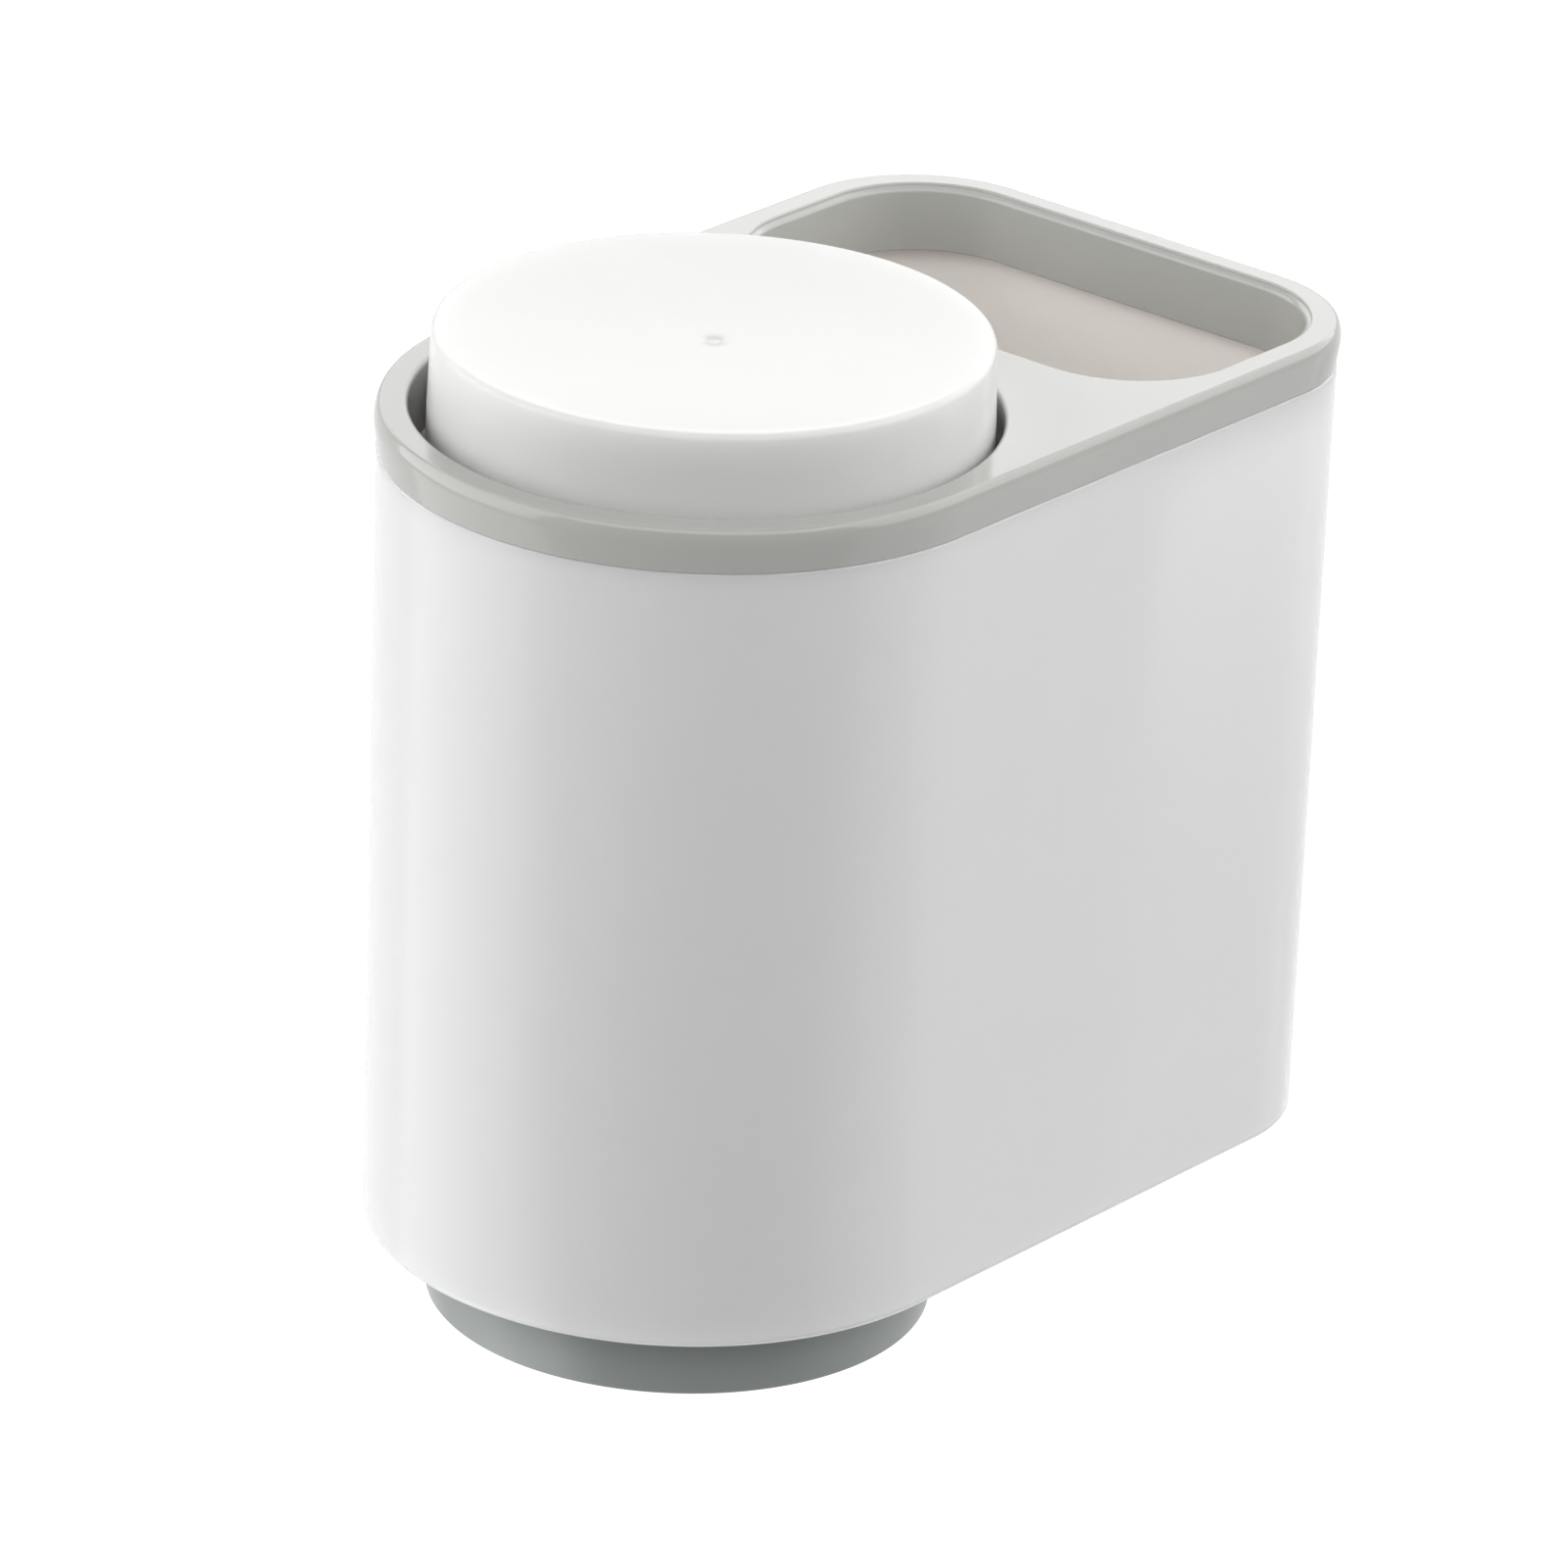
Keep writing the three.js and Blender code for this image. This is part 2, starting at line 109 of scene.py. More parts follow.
# Roundings and small forms that the photograph shows, in millimetres
BAND_PROUD = 0.3  # the frame's band leans out from the shell's rim to the deck
BAND_FOOT_INSET = 0.1
DECK_EDGE_WIDTH = 0.9
DECK_EDGE_DROP = 2.3
SEAM = 0.05
HOLE_EDGE = 0.6
HOLE_TRIM = 0.3  # the hole is a little closer to the cup than the solid's
MOUTH_EDGE = 0.25
MOUTH_SIDE_TRIM = 0.55
MOUTH_STEP = 0.8  # the collar stands in from the mouth's edge
MOUTH_STEP_DEPTH = 0.35
SHELL_RIM_EDGE = 0.3
SHELL_FOOT_EDGE = 1.2
CUP_EDGE = 0.8
CUP_LAND = 1.0  # from the cup's side in to the dish of its base
CUP_SWELL = 0.3  # the cup is this much wider at the deck than at its base
CUP_SHIFT = (0.45, 0.4)  # the loose cup stands a little to the right in its hole
FOOT_SPREAD = 0.45
FOOT_DROP = 0.35
TRAY_SHIFT = (0.2, 0.2)  # so does the loose tray in its socket
GATE_RADIUS = 1.3
GATE_DEPTH = 0.2
GATE_SHAPE = ((0.8, 0.5), (0.6, 1.0), (0.3, 0.8), (0.0, 0.5))  # shares of the gate's radius and depth

# Roundings and small forms that are hidden there, in millimetres
SMALL_EDGE = 0.3
BULGE_EDGE = 0.8
HOOK_SLOT_CORNER = 0.5
CUP_INNER_ROUND = ((8.0, 2.92), (3.0, 3.0), (0.6, 4.2), (0.0, 7.0))  # in from the wall, down from the top
CUP_FLOOR = 3.4  # from the top down to the middle of the cup's inside
TRAY_EDGE = 0.5
TRAY_INNER_ROUND = 2.0
TRAY_RECESS = 0.8
TRAY_RECESS_EDGE = ((4.6, 1.0), (4.3, 0.75), (4.0, 0.0))  # in from the foot's side, share of the depth
SEAL_EDGE = 0.6
SEAL_INNER_EDGE = 0.2
VENT_CORNER = 1.2
REST_RIB_CORNER = 0.8
PLATE_EDGE = 0.5
PAD_EDGE = 0.12
BUMPER_EDGE = 0.45
BUMPER_SUPPORT = 0.6  # from the rounded edge in to an extra ring on the button's face

# Fineness of the meshes
NOSE_STEPS = 120
CORNER_STEPS = 28
STRAIGHT_STEPS = 14
ROUND_STEPS = 192
BUTTON_STEPS = 64
PEG_STEPS = 48
SLOT_STEPS = 16
SLOT_STRAIGHT_STEPS = 3
SMALL_STEPS = 6
EDGE_STEPS = 8
DISH_STEPS = 24
SUPPORT = 0.08  # distance of the extra loop that keeps the flat beside a rounded edge flat
OVERLAP = 1.0  # how far cuts and joined parts reach past a face
MERGE = 0.001  # points this close together become one after a cut
TOUCHING = 1e-6  # arcs this close together share their end point
SHARP_ANGLE = math.radians(32)
FACES_BACK = 0.5  # a face that points further back than this is none of the shell's inner faces


def box(node):
    """Lowest and highest corner of a solid, in millimetres."""
    low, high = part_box(node)
    return low / MM, high / MM


shell_low, shell_high = box("outer_shell")
frame_low, frame_high = box("top_frame")
cup_low, cup_high = box("rinse_cup")
tray_low, tray_high = box("drip_tray")
seal_low, seal_high = box("tray_seal")
rest_low, rest_high = box("cup_rest")
brush_low, brush_high = box("brush_rest")
plate_low, plate_high = box("wall_plate")
pad_low, pad_high = box("adhesive_pad")
divider_low, divider_high = box("divider_panel")
bumper_low, bumper_high = box("wall_bumper_right")

HALF_WIDTH = shell_high.x
AXIS_Y = shell_low.y + HALF_WIDTH
BACK = shell_high.y - AXIS_Y
UNDERSIDE = shell_low.z
WELL_FLOOR = UNDERSIDE + SHELL_FLOOR
RIM = shell_high.z
DECK = frame_high.z
COLLAR_BOTTOM = frame_low.z
BAND_BOTTOM = RIM + SEAM
HOLE_RADIUS = cup_high.x + CUP_CLEARANCE - HOLE_TRIM
MOUTH_HALF = HALF_WIDTH - SHELL_WALL - COLLAR_FIT - COLLAR_WALL
MOUTH_FRONT = cup_high.x + CUP_CLEARANCE + WEB_WIDTH
MOUTH_BACK = BACK - SHELL_WALL - COLLAR_FIT - COLLAR_WALL
REAR_CORNER = MOUTH_CORNER + HALF_WIDTH - MOUTH_HALF
SOCKET_RADIUS = seal_high.x + SEAL_FIT
POCKET_FLOOR = PLATE_THICKNESS - plate_high.y + PLATE_FIT
HOOK_TOP = plate_high.z - HOOK_DROP
LIFT = HOOK_LIP_HEIGHT + HOOK_SPARE


# Plans: closed loops of (x, y) about the cup's axis, moved out by an outset

def arc(x, y, radius, start, end, steps):
    angles = [math.radians(start + (end - start) * i / steps) for i in range(steps + 1)]
    return [(x + radius * math.cos(a), y + radius * math.sin(a)) for a in angles]


def loop(*parts, straight=STRAIGHT_STEPS):
    """Joins arcs into one loop, with extra points along the straight runs between them."""
    points = []
    for part, following in zip(parts, parts[1:] + parts[:1]):
        points += part
        (ax, ay), (bx, by) = part[-1], following[0]
        run_x, run_y = bx - ax, by - ay
        if math.hypot(run_x, run_y) < TOUCHING:
            points.pop()
            continue
        points += [(ax + run_x * i / straight, ay + run_y * i / straight) for i in range(1, straight)]
    return points


def body_plan(outset):
    half = HALF_WIDTH + outset
    back = BACK + outset
    corner = REAR_CORNER + outset
    return loop(
        arc(0, 0, half, 180, 360, NOSE_STEPS),
        arc(half - corner, back - corner, corner, 0, 90, CORNER_STEPS),
        arc(corner - half, back - corner, corner, 90, 180, CORNER_STEPS),
    )


def rounded_rectangle(left, front, right, back, radius, steps=CORNER_STEPS):
    def plan(outset):
        r = radius + outset
        return loop(
            arc(right - radius, front + radius, r, 270, 360, steps),
            arc(right - radius, back - radius, r, 0, 90, steps),
            arc(left + radius, back - radius, r, 90, 180, steps),
            arc(left + radius, front + radius, r, 180, 270, steps),
        )
    return plan


def circle(radius, x=0, y=0, steps=ROUND_STEPS):
    return lambda outset: arc(x, y, radius + outset, 0, 360, steps)[:-1]


def slot(x, y, width, length):
    run = (length - width) / 2

    def plan(outset):
        r = width / 2 + outset
        far_end = arc(x, y + run, r, 0, 180, SLOT_STEPS)
        near_end = arc(x, y - run, r, 180, 360, SLOT_STEPS)
        return loop(far_end, near_end, straight=SLOT_STRAIGHT_STEPS)
    return plan


def polygon(*corners):
    """A plan with sharp corners, each moved out along both of its sides."""
    def plan(outset):
        points = []
        for before, here, after in zip(corners[-1:] + corners[:-1], corners, corners[1:] + corners[:1]):
            a = (Vector(here) - Vector(before)).normalized()
            b = (Vector(after) - Vector(here)).normalized()
            out_a, out_b = Vector((a.y, -a.x)), Vector((b.y, -b.x))
            move = (out_a + out_b) / (1 + out_a.dot(out_b))
            points.append(tuple(Vector(here) + move * outset))
        return points
    return plan


# Profiles: lists of (outset, height) along which a plan is swept

def fillet(outset, height, radius, start, end, rise=None):
    """A quarter round, or a quarter oval where its rise differs from its radius."""
    stretch = 1 if rise is None else rise / radius
    points = arc(0, 0, radius, start, end, EDGE_STEPS)
    return [(outset + x, height + y * stretch) for x, y in points]


def draw_in(points, height):
    """The shell draws in towards its underside, all round but at its flat back."""
    scale = 1 - SHELL_DRAFT * (RIM - height) / (RIM - UNDERSIDE) / HALF_WIDTH
    return [(x * scale, max(y, y * scale)) for x, y in points]


def plain(points, height):
    return points


def sweep(bm, plan, profile, shape=plain):
    """Adds a plan's wall along a profile and returns its first and last rings."""
    rings = []
    for outset, height in profile:
        points = shape(plan(outset), height)
        rings.append([bm.verts.new((x, y, height)) for x, y in points])
    for low, high in zip(rings, rings[1:]):
        for i in range(len(low)):
            j = i - 1
            bm.faces.new((low[j], low[i], high[i], high[j]))
    return rings[0], rings[-1]


def cap(bm, *rings):
    """Fills the flat area between a ring and the holes in it."""
    edges = []
    for ring in rings:
        for i in range(len(ring)):
            ends = (ring[i - 1], ring[i])
            edges.append(bm.edges.get(ends) or bm.edges.new(ends))
    bmesh.ops.triangle_fill(bm, use_beauty=True, use_dissolve=False, edges=edges)


def slab(bm, plan, bottom, top, holes=(), edge=SMALL_EDGE):
    """A plate between two heights, with holes, rounded along every edge."""
    def profile(sign):
        return (
            [(-sign * (edge + SUPPORT), top)]
            + fillet(-sign * edge, top - edge, edge, 90, 90 - sign * 90)
            + fillet(-sign * edge, bottom + edge, edge, 90 - sign * 90, 90 - sign * 180)
            + [(-sign * (edge + SUPPORT), bottom)]
        )
    ends = [sweep(bm, plan, profile(1))] + [sweep(bm, hole, profile(-1)) for hole in holes]
    cap(bm, *[first for first, _ in ends])
    cap(bm, *[last for _, last in ends])


def block(plan, near, far, edge=0.0):
    """Builder of a plain or rounded plate between two heights."""
    def build(bm):
        if edge:
            slab(bm, plan, near, far, edge=edge)
        else:
            low, high = sweep(bm, plan, [(0, near), (0, far)])
            cap(bm, low)
            cap(bm, high)
    return build


def lathe(bm, profile, steps=ROUND_STEPS):
    """A turned body from a profile of (radius, height); a radius of 0 is a point on the axis."""
    rings = []
    for radius, height in profile:
        if radius == 0:
            rings.append([bm.verts.new((0, 0, height))])
        else:
            rings.append([bm.verts.new((x, y, height)) for x, y in circle(radius, steps=steps)(0)])
    closed = profile[0][0] > 0
    for low, high in zip(rings, rings[1:] + (rings[:1] if closed else [])):
        for i in range(steps):
            if len(low) == 1:
                corners = [low[0], high[i], high[i - 1]]
            elif len(high) == 1:
                corners = [low[i - 1], low[i], high[0]]
            else:
                corners = [low[i - 1], low[i], high[i], high[i - 1]]
            bm.faces.new(corners)


# From the plan's own axes to the part's frame
UPRIGHT = Matrix.Translation((0, AXIS_Y, 0))
ON_WALL = Matrix(((1, 0, 0, 0), (0, 0, -1, 0), (0, 1, 0, 0), (0, 0, 0, 1)))
ACROSS = Matrix(((0, 0, 1, 0), (1, 0, 0, 0), (0, 1, 0, 0), (0, 0, 0, 1)))
IN_HOLE = Matrix.Translation((*CUP_SHIFT, 0)) @ UPRIGHT
IN_SOCKET = Matrix.Translation((*TRAY_SHIFT, 0)) @ UPRIGHT


def make(name, build, place=UPRIGHT):
    """An object from a function that fills a bmesh, in millimetres."""
    bm = bmesh.new()
    build(bm)
    bmesh.ops.recalc_face_normals(bm, faces=bm.faces)
    bm.transform(Matrix.Scale(MM, 4) @ place)
    if place.determinant() < 0:
        bmesh.ops.reverse_faces(bm, faces=bm.faces)
    mesh = bpy.data.meshes.new(name)
    bm.to_mesh(mesh)
    bm.free()
    obj = bpy.data.objects.new(name, mesh)
    bpy.context.scene.collection.objects.link(obj)
    return obj


def mend(mesh):
    """Joins points that fell together in a cut and closes what is left open there."""
    bm = bmesh.new()
    bm.from_mesh(mesh)
    bmesh.ops.remove_doubles(bm, verts=bm.verts, dist=MERGE * MM)
    bmesh.ops.holes_fill(bm, edges=[edge for edge in bm.edges if edge.is_boundary], sides=0)
    bmesh.ops.recalc_face_normals(bm, faces=bm.faces)
    bm.to_mesh(mesh)
    bm.free()


def combine(target, operation, *others):
    """Joins the other objects to the target, or cuts them out of it."""
    for other in others:
        modifier = target.modifiers.new(operation, "BOOLEAN")
        modifier.operation = operation
        modifier.solver = "EXACT"
        modifier.object = other
    graph = bpy.context.evaluated_depsgraph_get()
    result = bpy.data.meshes.new_from_object(target.evaluated_get(graph))
    target.modifiers.clear()
    mend(result)
    old = target.data
    target.data = result
    bpy.data.meshes.remove(old)
    for other in others:
        bpy.data.meshes.remove(other.data)
    return target


def smooth(obj):
    for face in obj.data.polygons:
        face.use_smooth = True
    obj.data.set_sharp_from_angle(angle=SHARP_ANGLE)


def dress(obj, body, node, material_slot, *materials):
    """The piece stands for a solid, moves with its body and takes its finish."""
    smooth(obj)
    for material in materials:
        obj.data.materials.append(material)
    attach(obj, body)
    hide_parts(node)


# Materials; lengths in metres
CLOUD_SCALE = 45
CLOUD_DETAIL = 3
CLOUD_LOW = 0.3
CLOUD_HIGH = 0.7
GLOSS_SPREAD = 0.06
SKIN_DETAIL = 2
SKIN_STRENGTH = 0.5
REFRACTION = 1.5
GLOW_DEPTH = 0.003


def plastic(name, light, dark, roughness, grain=900, grain_depth=0.000004, glint=0.5, depth=0.0):
    """Moulded plastic: faint cloudiness of colour and gloss, and a fine moulded skin."""
    material = bpy.data.materials.new(name)
    material.use_nodes = True
    nodes, links = material.node_tree.nodes, material.node_tree.links
    shader = nodes["Principled BSDF"]
    place = nodes.new("ShaderNodeTexCoord")

    cloud = nodes.new("ShaderNodeTexNoise")
    cloud.inputs["Scale"].default_value = CLOUD_SCALE
    cloud.inputs["Detail"].default_value = CLOUD_DETAIL
    links.new(place.outputs["Object"], cloud.inputs["Vector"])
    colour = nodes.new("ShaderNodeValToRGB")
    colour.color_ramp.elements[0].position = CLOUD_LOW
    colour.color_ramp.elements[0].color = (*dark, 1)
    colour.color_ramp.elements[1].position = CLOUD_HIGH
    colour.color_ramp.elements[1].color = (*light, 1)
    links.new(cloud.outputs["Fac"], colour.inputs["Fac"])
    links.new(colour.outputs["Color"], shader.inputs["Base Color"])

    gloss = nodes.new("ShaderNodeMapRange")
    gloss.inputs["To Min"].default_value = roughness - GLOSS_SPREAD / 2
    gloss.inputs["To Max"].default_value = roughness + GLOSS_SPREAD / 2
    links.new(cloud.outputs["Fac"], gloss.inputs["Value"])
    links.new(gloss.outputs["Result"], shader.inputs["Roughness"])

    skin = nodes.new("ShaderNodeTexNoise")
    skin.inputs["Scale"].default_value = grain
    skin.inputs["Detail"].default_value = SKIN_DETAIL
    links.new(place.outputs["Object"], skin.inputs["Vector"])
    bump = nodes.new("ShaderNodeBump")
    bump.inputs["Strength"].default_value = SKIN_STRENGTH
    bump.inputs["Distance"].default_value = grain_depth
    links.new(skin.outputs["Fac"], bump.inputs["Height"])
    links.new(bump.outputs["Normal"], shader.inputs["Normal"])
    shader.inputs["IOR"].default_value = REFRACTION
    shader.inputs["Specular IOR Level"].default_value = glint
    if depth:
        shader.inputs["Subsurface Weight"].default_value = 1
        shader.inputs["Subsurface Radius"].default_value = (1, 1, 1)
        shader.inputs["Subsurface Scale"].default_value = depth
    return material


shell_white = plastic("shell_white", (0.90, 0.90, 0.91), (0.88, 0.88, 0.89), 0.18, depth=GLOW_DEPTH)
# The shell's inside and the divider are the shell's white plastic with a painted glow: their warm tint
# stands for light shining through the thin wall.
inner_white = plastic("inner_white", (0.90, 0.855, 0.82), (0.88, 0.835, 0.80), 0.42, depth=GLOW_DEPTH)
frame_grey = plastic("frame_grey", (0.495, 0.50, 0.475), (0.475, 0.48, 0.455), 0.12)
cup_white = plastic(
    "cup_white", (0.83, 0.83, 0.82), (0.81, 0.81, 0.80), 0.2, glint=0.2, depth=GLOW_DEPTH)
tray_grey = plastic("tray_grey", (0.26, 0.285, 0.28), (0.24, 0.265, 0.26), 0.3)
insert_grey = plastic("insert_grey", (0.47, 0.47, 0.455), (0.44, 0.44, 0.425), 0.38)
soft_grey = plastic(
    "soft_grey", (0.2, 0.205, 0.205), (0.17, 0.175, 0.175), 0.62, grain=2200, grain_depth=0.00002)
pad_foam = plastic(
    "pad_foam", (0.74, 0.74, 0.71), (0.66, 0.66, 0.63), 0.85, grain=1600, grain_depth=0.00012)


# Outer shell

def socket_profile():
    top = UNDERSIDE + SOCKET_HEIGHT
    edge = SMALL_EDGE
    return (
        [(SOCKET_WALL + edge + SUPPORT, WELL_FLOOR)]
        + fillet(SOCKET_WALL + edge, WELL_FLOOR + edge, edge, 270, 180)
        + fillet(SOCKET_WALL - edge, top - edge, edge, 0, 90)
        + fillet(edge, top - edge, edge, 90, 180)
        + fillet(edge, UNDERSIDE + edge, edge, 180, 270)
        + [(edge + SUPPORT, UNDERSIDE)]
    )


def slot_places(count):
    return [(i - (count - 1) / 2) * BRUSH_SLOT_PITCH for i in range(count)]


def drain_plans():
    middle = (brush_low.y + brush_high.y) / 2 - AXIS_Y
    length = brush_high.y - brush_low.y - 2 * BRUSH_SLOT_MARGIN - 2 * DRAIN_MARGIN
    return [slot(x, middle, DRAIN_WIDTH, length) for x in slot_places(DRAIN_COUNT)]


def drain_profile():
    edge = SMALL_EDGE
    return (
        [(edge + SUPPORT, WELL_FLOOR)]
        + fillet(edge, WELL_FLOOR - edge, edge, 90, 180)
        + fillet(edge, UNDERSIDE + edge, edge, 180, 270)
        + [(edge + SUPPORT, UNDERSIDE)]
    )


def build_shell(bm):
    inner = -SHELL_WALL
    foot = SHELL_FOOT_EDGE
    profile = (
        [(inner - foot - SUPPORT, WELL_FLOOR)]
        + fillet(inner - foot, WELL_FLOOR + foot, foot, 270, 360)
        + fillet(inner + SMALL_EDGE, RIM - SMALL_EDGE, SMALL_EDGE, 180, 90)
        + fillet(-SHELL_RIM_EDGE, RIM - SHELL_RIM_EDGE, SHELL_RIM_EDGE, 90, 0)
        + fillet(-foot, UNDERSIDE + foot, foot, 0, -90)
        + [(-foot - SUPPORT, UNDERSIDE)]
    )
    inside, outside = sweep(bm, body_plan, profile, draw_in)
    above, below = sweep(bm, circle(SOCKET_RADIUS), socket_profile())
    drains = [sweep(bm, plan, drain_profile()) for plan in drain_plans()]
    cap(bm, inside, above, *[first for first, _ in drains])
    cap(bm, outside, below, *[last for _, last in drains])


def shell_ribs():
    """Ribs on the shell's sides that hold the divider between them."""
    front = divider_low.y - AXIS_Y - DIVIDER_FIT
    back = divider_high.y - AXIS_Y + DIVIDER_FIT
    inner = HALF_WIDTH - SHELL_WALL - SHELL_DRAFT - RIB_REACH
    outer = HALF_WIDTH - SHELL_DRAFT - SHELL_WALL / 2
    ribs = []
    for left, right in ((-outer, -inner), (inner, outer)):
        for near, far in ((front - RIB_WIDTH, front), (back, back + RIB_WIDTH)):
            plan = polygon((left, near), (right, near), (right, far), (left, far))
            ribs.append(make("rib", block(plan, UNDERSIDE + OVERLAP, divider_high.z, SMALL_EDGE)))
    return ribs


def pocket_plan(outset):
    """The pocket in the shell's back, in which the wall plate has room to slide."""
    half = plate_high.x + PLATE_FIT
    bottom = plate_low.z - LIFT - PLATE_FIT
    top = plate_high.z + PLATE_FIT
    return rounded_rectangle(-half, bottom, half, top, PLATE_CORNER + PLATE_FIT)(outset)


def bulge_plan(outset):
    return pocket_plan(outset + SHELL_WALL)


def shell_bulge():
    """The shell's wall, where it runs round the pocket."""
    near = SHELL_WALL / 2 - shell_high.y
    return make("bulge", block(bulge_plan, near, POCKET_FLOOR + SHELL_WALL, BULGE_EDGE), ON_WALL)


def hook_slot(x):
    half = HOOK_WIDTH / 2 + HOOK_FIT
    bottom = HOOK_TOP - HOOK_STEM - LIFT - HOOK_FIT
    plan = rounded_rectangle(x - half, bottom, x + half, HOOK_TOP + SEAT_GAP, HOOK_SLOT_CORNER)
    far = POCKET_FLOOR + SHELL_WALL + OVERLAP
    return make("hook_slot", block(plan, POCKET_FLOOR - OVERLAP, far), ON_WALL)


def bumper_recess(x):
    radius = (bumper_high.x - bumper_low.x) / 2 + BUMPER_FIT
    plan = circle(radius, x, (bumper_low.z + bumper_high.z) / 2, BUTTON_STEPS)
    return make("recess", block(plan, -OVERLAP, -bumper_low.y), ON_WALL)


def is_inside(x, y):
    """Whether a point lies within the middle of the shell's wall."""
    half = HALF_WIDTH - SHELL_WALL / 2 - SHELL_DRAFT / 2
    corner = REAR_CORNER - SHELL_WALL / 2
    straight = BACK - REAR_CORNER
    if y < 0:
        return math.hypot(x, y) < half
    if y > straight and abs(x) > half - corner:
        return math.hypot(abs(x) - half + corner, y - straight) < corner
    return abs(x) < half and y < straight + corner


def shell_piece():
    shell = make("shell_body", build_shell)
    ribs = shell_ribs()
    combine(shell, "UNION", shell_bulge(), *ribs)
    cuts = [make("pocket", block(pocket_plan, -OVERLAP, POCKET_FLOOR), ON_WALL)]
    for sign in (-1, 1):
        cuts.append(hook_slot(sign * HOOK_X))
        cuts.append(bumper_recess(sign * (bumper_low.x + bumper_high.x) / 2))
    combine(shell, "DIFFERENCE", *cuts)

    dress(shell, "housing", "outer_shell", "shell_white", shell_white, inner_white)
    # The faces inside the shell take the second finish, whose warm tint is painted light glowing through
    # the wall.
    for face in shell.data.polygons:
        x, y, z = face.center / MM
        above_floor = z > UNDERSIDE + SHELL_FLOOR / 2
        if above_floor and is_inside(x, y - AXIS_Y) and face.normal.y < FACES_BACK:
            face.material_index = 1


# Top frame

def mouth_plan(outset):
    half = MOUTH_HALF - MOUTH_SIDE_TRIM
    return rounded_rectangle(-half, MOUTH_FRONT, half, MOUTH_BACK, MOUTH_CORNER)(outset)


def build_frame(bm):
    inner = -SHELL_WALL - COLLAR_FIT
    edge = SMALL_EDGE
    deck_edge = BAND_PROUD - DECK_EDGE_WIDTH
    band_foot = -BAND_FOOT_INSET
    rim_profile = (
        [(deck_edge - SUPPORT, DECK)]
        + fillet(deck_edge, DECK - DECK_EDGE_DROP, DECK_EDGE_WIDTH, 90, 0, DECK_EDGE_DROP)
        + [(band_foot, BAND_BOTTOM + SUPPORT), (band_foot - SUPPORT, BAND_BOTTOM)]
        + [(inner + edge, BAND_BOTTOM), (inner, BAND_BOTTOM)]
        + fillet(inner - edge, COLLAR_BOTTOM + edge, edge, 0, -90)
    )
    hole_profile = (
        [(HOLE_EDGE + SUPPORT, DECK)]
        + fillet(HOLE_EDGE, DECK - HOLE_EDGE, HOLE_EDGE, 90, 180)
        + fillet(edge, COLLAR_BOTTOM + edge, edge, 180, 270)
    )
    ledge = DECK - MOUTH_STEP_DEPTH
    mouth_profile = (
        [(MOUTH_EDGE + SUPPORT, DECK)]
        + fillet(MOUTH_EDGE, DECK - MOUTH_EDGE, MOUTH_EDGE, 90, 180)
        + [(0, ledge + SUPPORT)]
        + fillet(0, ledge - MOUTH_STEP, MOUTH_STEP, 90, 180)
        + fillet(edge - MOUTH_STEP, COLLAR_BOTTOM + edge, edge, 180, 270)
    )
    rings = [
        sweep(bm, body_plan, rim_profile),
        sweep(bm, circle(HOLE_RADIUS), hole_profile),
        sweep(bm, mouth_plan, mouth_profile),
    ]
    cap(bm, *[first for first, _ in rings])
    cap(bm, *[last for _, last in rings])


def frame_hollow():
    """The space under the deck, between the collars."""
    inset = SHELL_WALL + COLLAR_FIT + COLLAR_WALL
    bottom = COLLAR_BOTTOM - OVERLAP
    ceiling = DECK - DECK_THICKNESS

    def within(outset):
        return body_plan(outset - inset)

    def mouth_collar(outset):
        return mouth_plan(outset + COLLAR_WALL)

    hollow = make("hollow", block(within, bottom, ceiling))
    collars = []
    for plan in (circle(HOLE_RADIUS + HOLE_COLLAR_WALL), mouth_collar):
        collars.append(make("collar", block(plan, bottom - OVERLAP, ceiling + OVERLAP)))
    return combine(hollow, "DIFFERENCE", *collars)


def frame_piece():
    piece = make("deck_frame", build_frame)
    combine(piece, "DIFFERENCE", frame_hollow())
    dress(piece, "housing", "top_frame", "frame_grey", frame_grey)


# Rinse cup, upside down

def cup_dish_profile(land, top):
    """From the edge of the dished base in to the gate mark at its middle."""
    profile = []
    for i in range(DISH_STEPS + 1):
        radius = land + (GATE_RADIUS - land) * i / DISH_STEPS
        profile.append((radius, top - CUP_DISH * (1 - (radius / land) ** 2)))
    for radius_share, depth_share in GATE_SHAPE:
        profile.append((GATE_RADIUS * radius_share, top - CUP_DISH - GATE_DEPTH * depth_share))
    return profile


def build_cup(bm):
    rim, base = cup_high.x, cup_high.x - CUP_TAPER
    low, high = cup_low.z, cup_high.z
    lip = CUP_WALL / 2
    profile = [(0, high - CUP_FLOOR)]
    profile += [(base - CUP_WALL - inset, high - drop) for inset, drop in CUP_INNER_ROUND]
    profile += arc(rim - lip, low + lip, lip, 180, 360, 2 * EDGE_STEPS)
    profile += [(base + CUP_SWELL, DECK)]
    profile += arc(base - CUP_EDGE, high - CUP_EDGE, CUP_EDGE, 0, 90, EDGE_STEPS)
    profile += cup_dish_profile(base - CUP_LAND, high)
    lathe(bm, profile)


def cup_piece():
    piece = make("tumbler", build_cup, IN_HOLE)
    dress(piece, "cup", "rinse_cup", "cup_white", cup_white)


# Drip tray and its seal

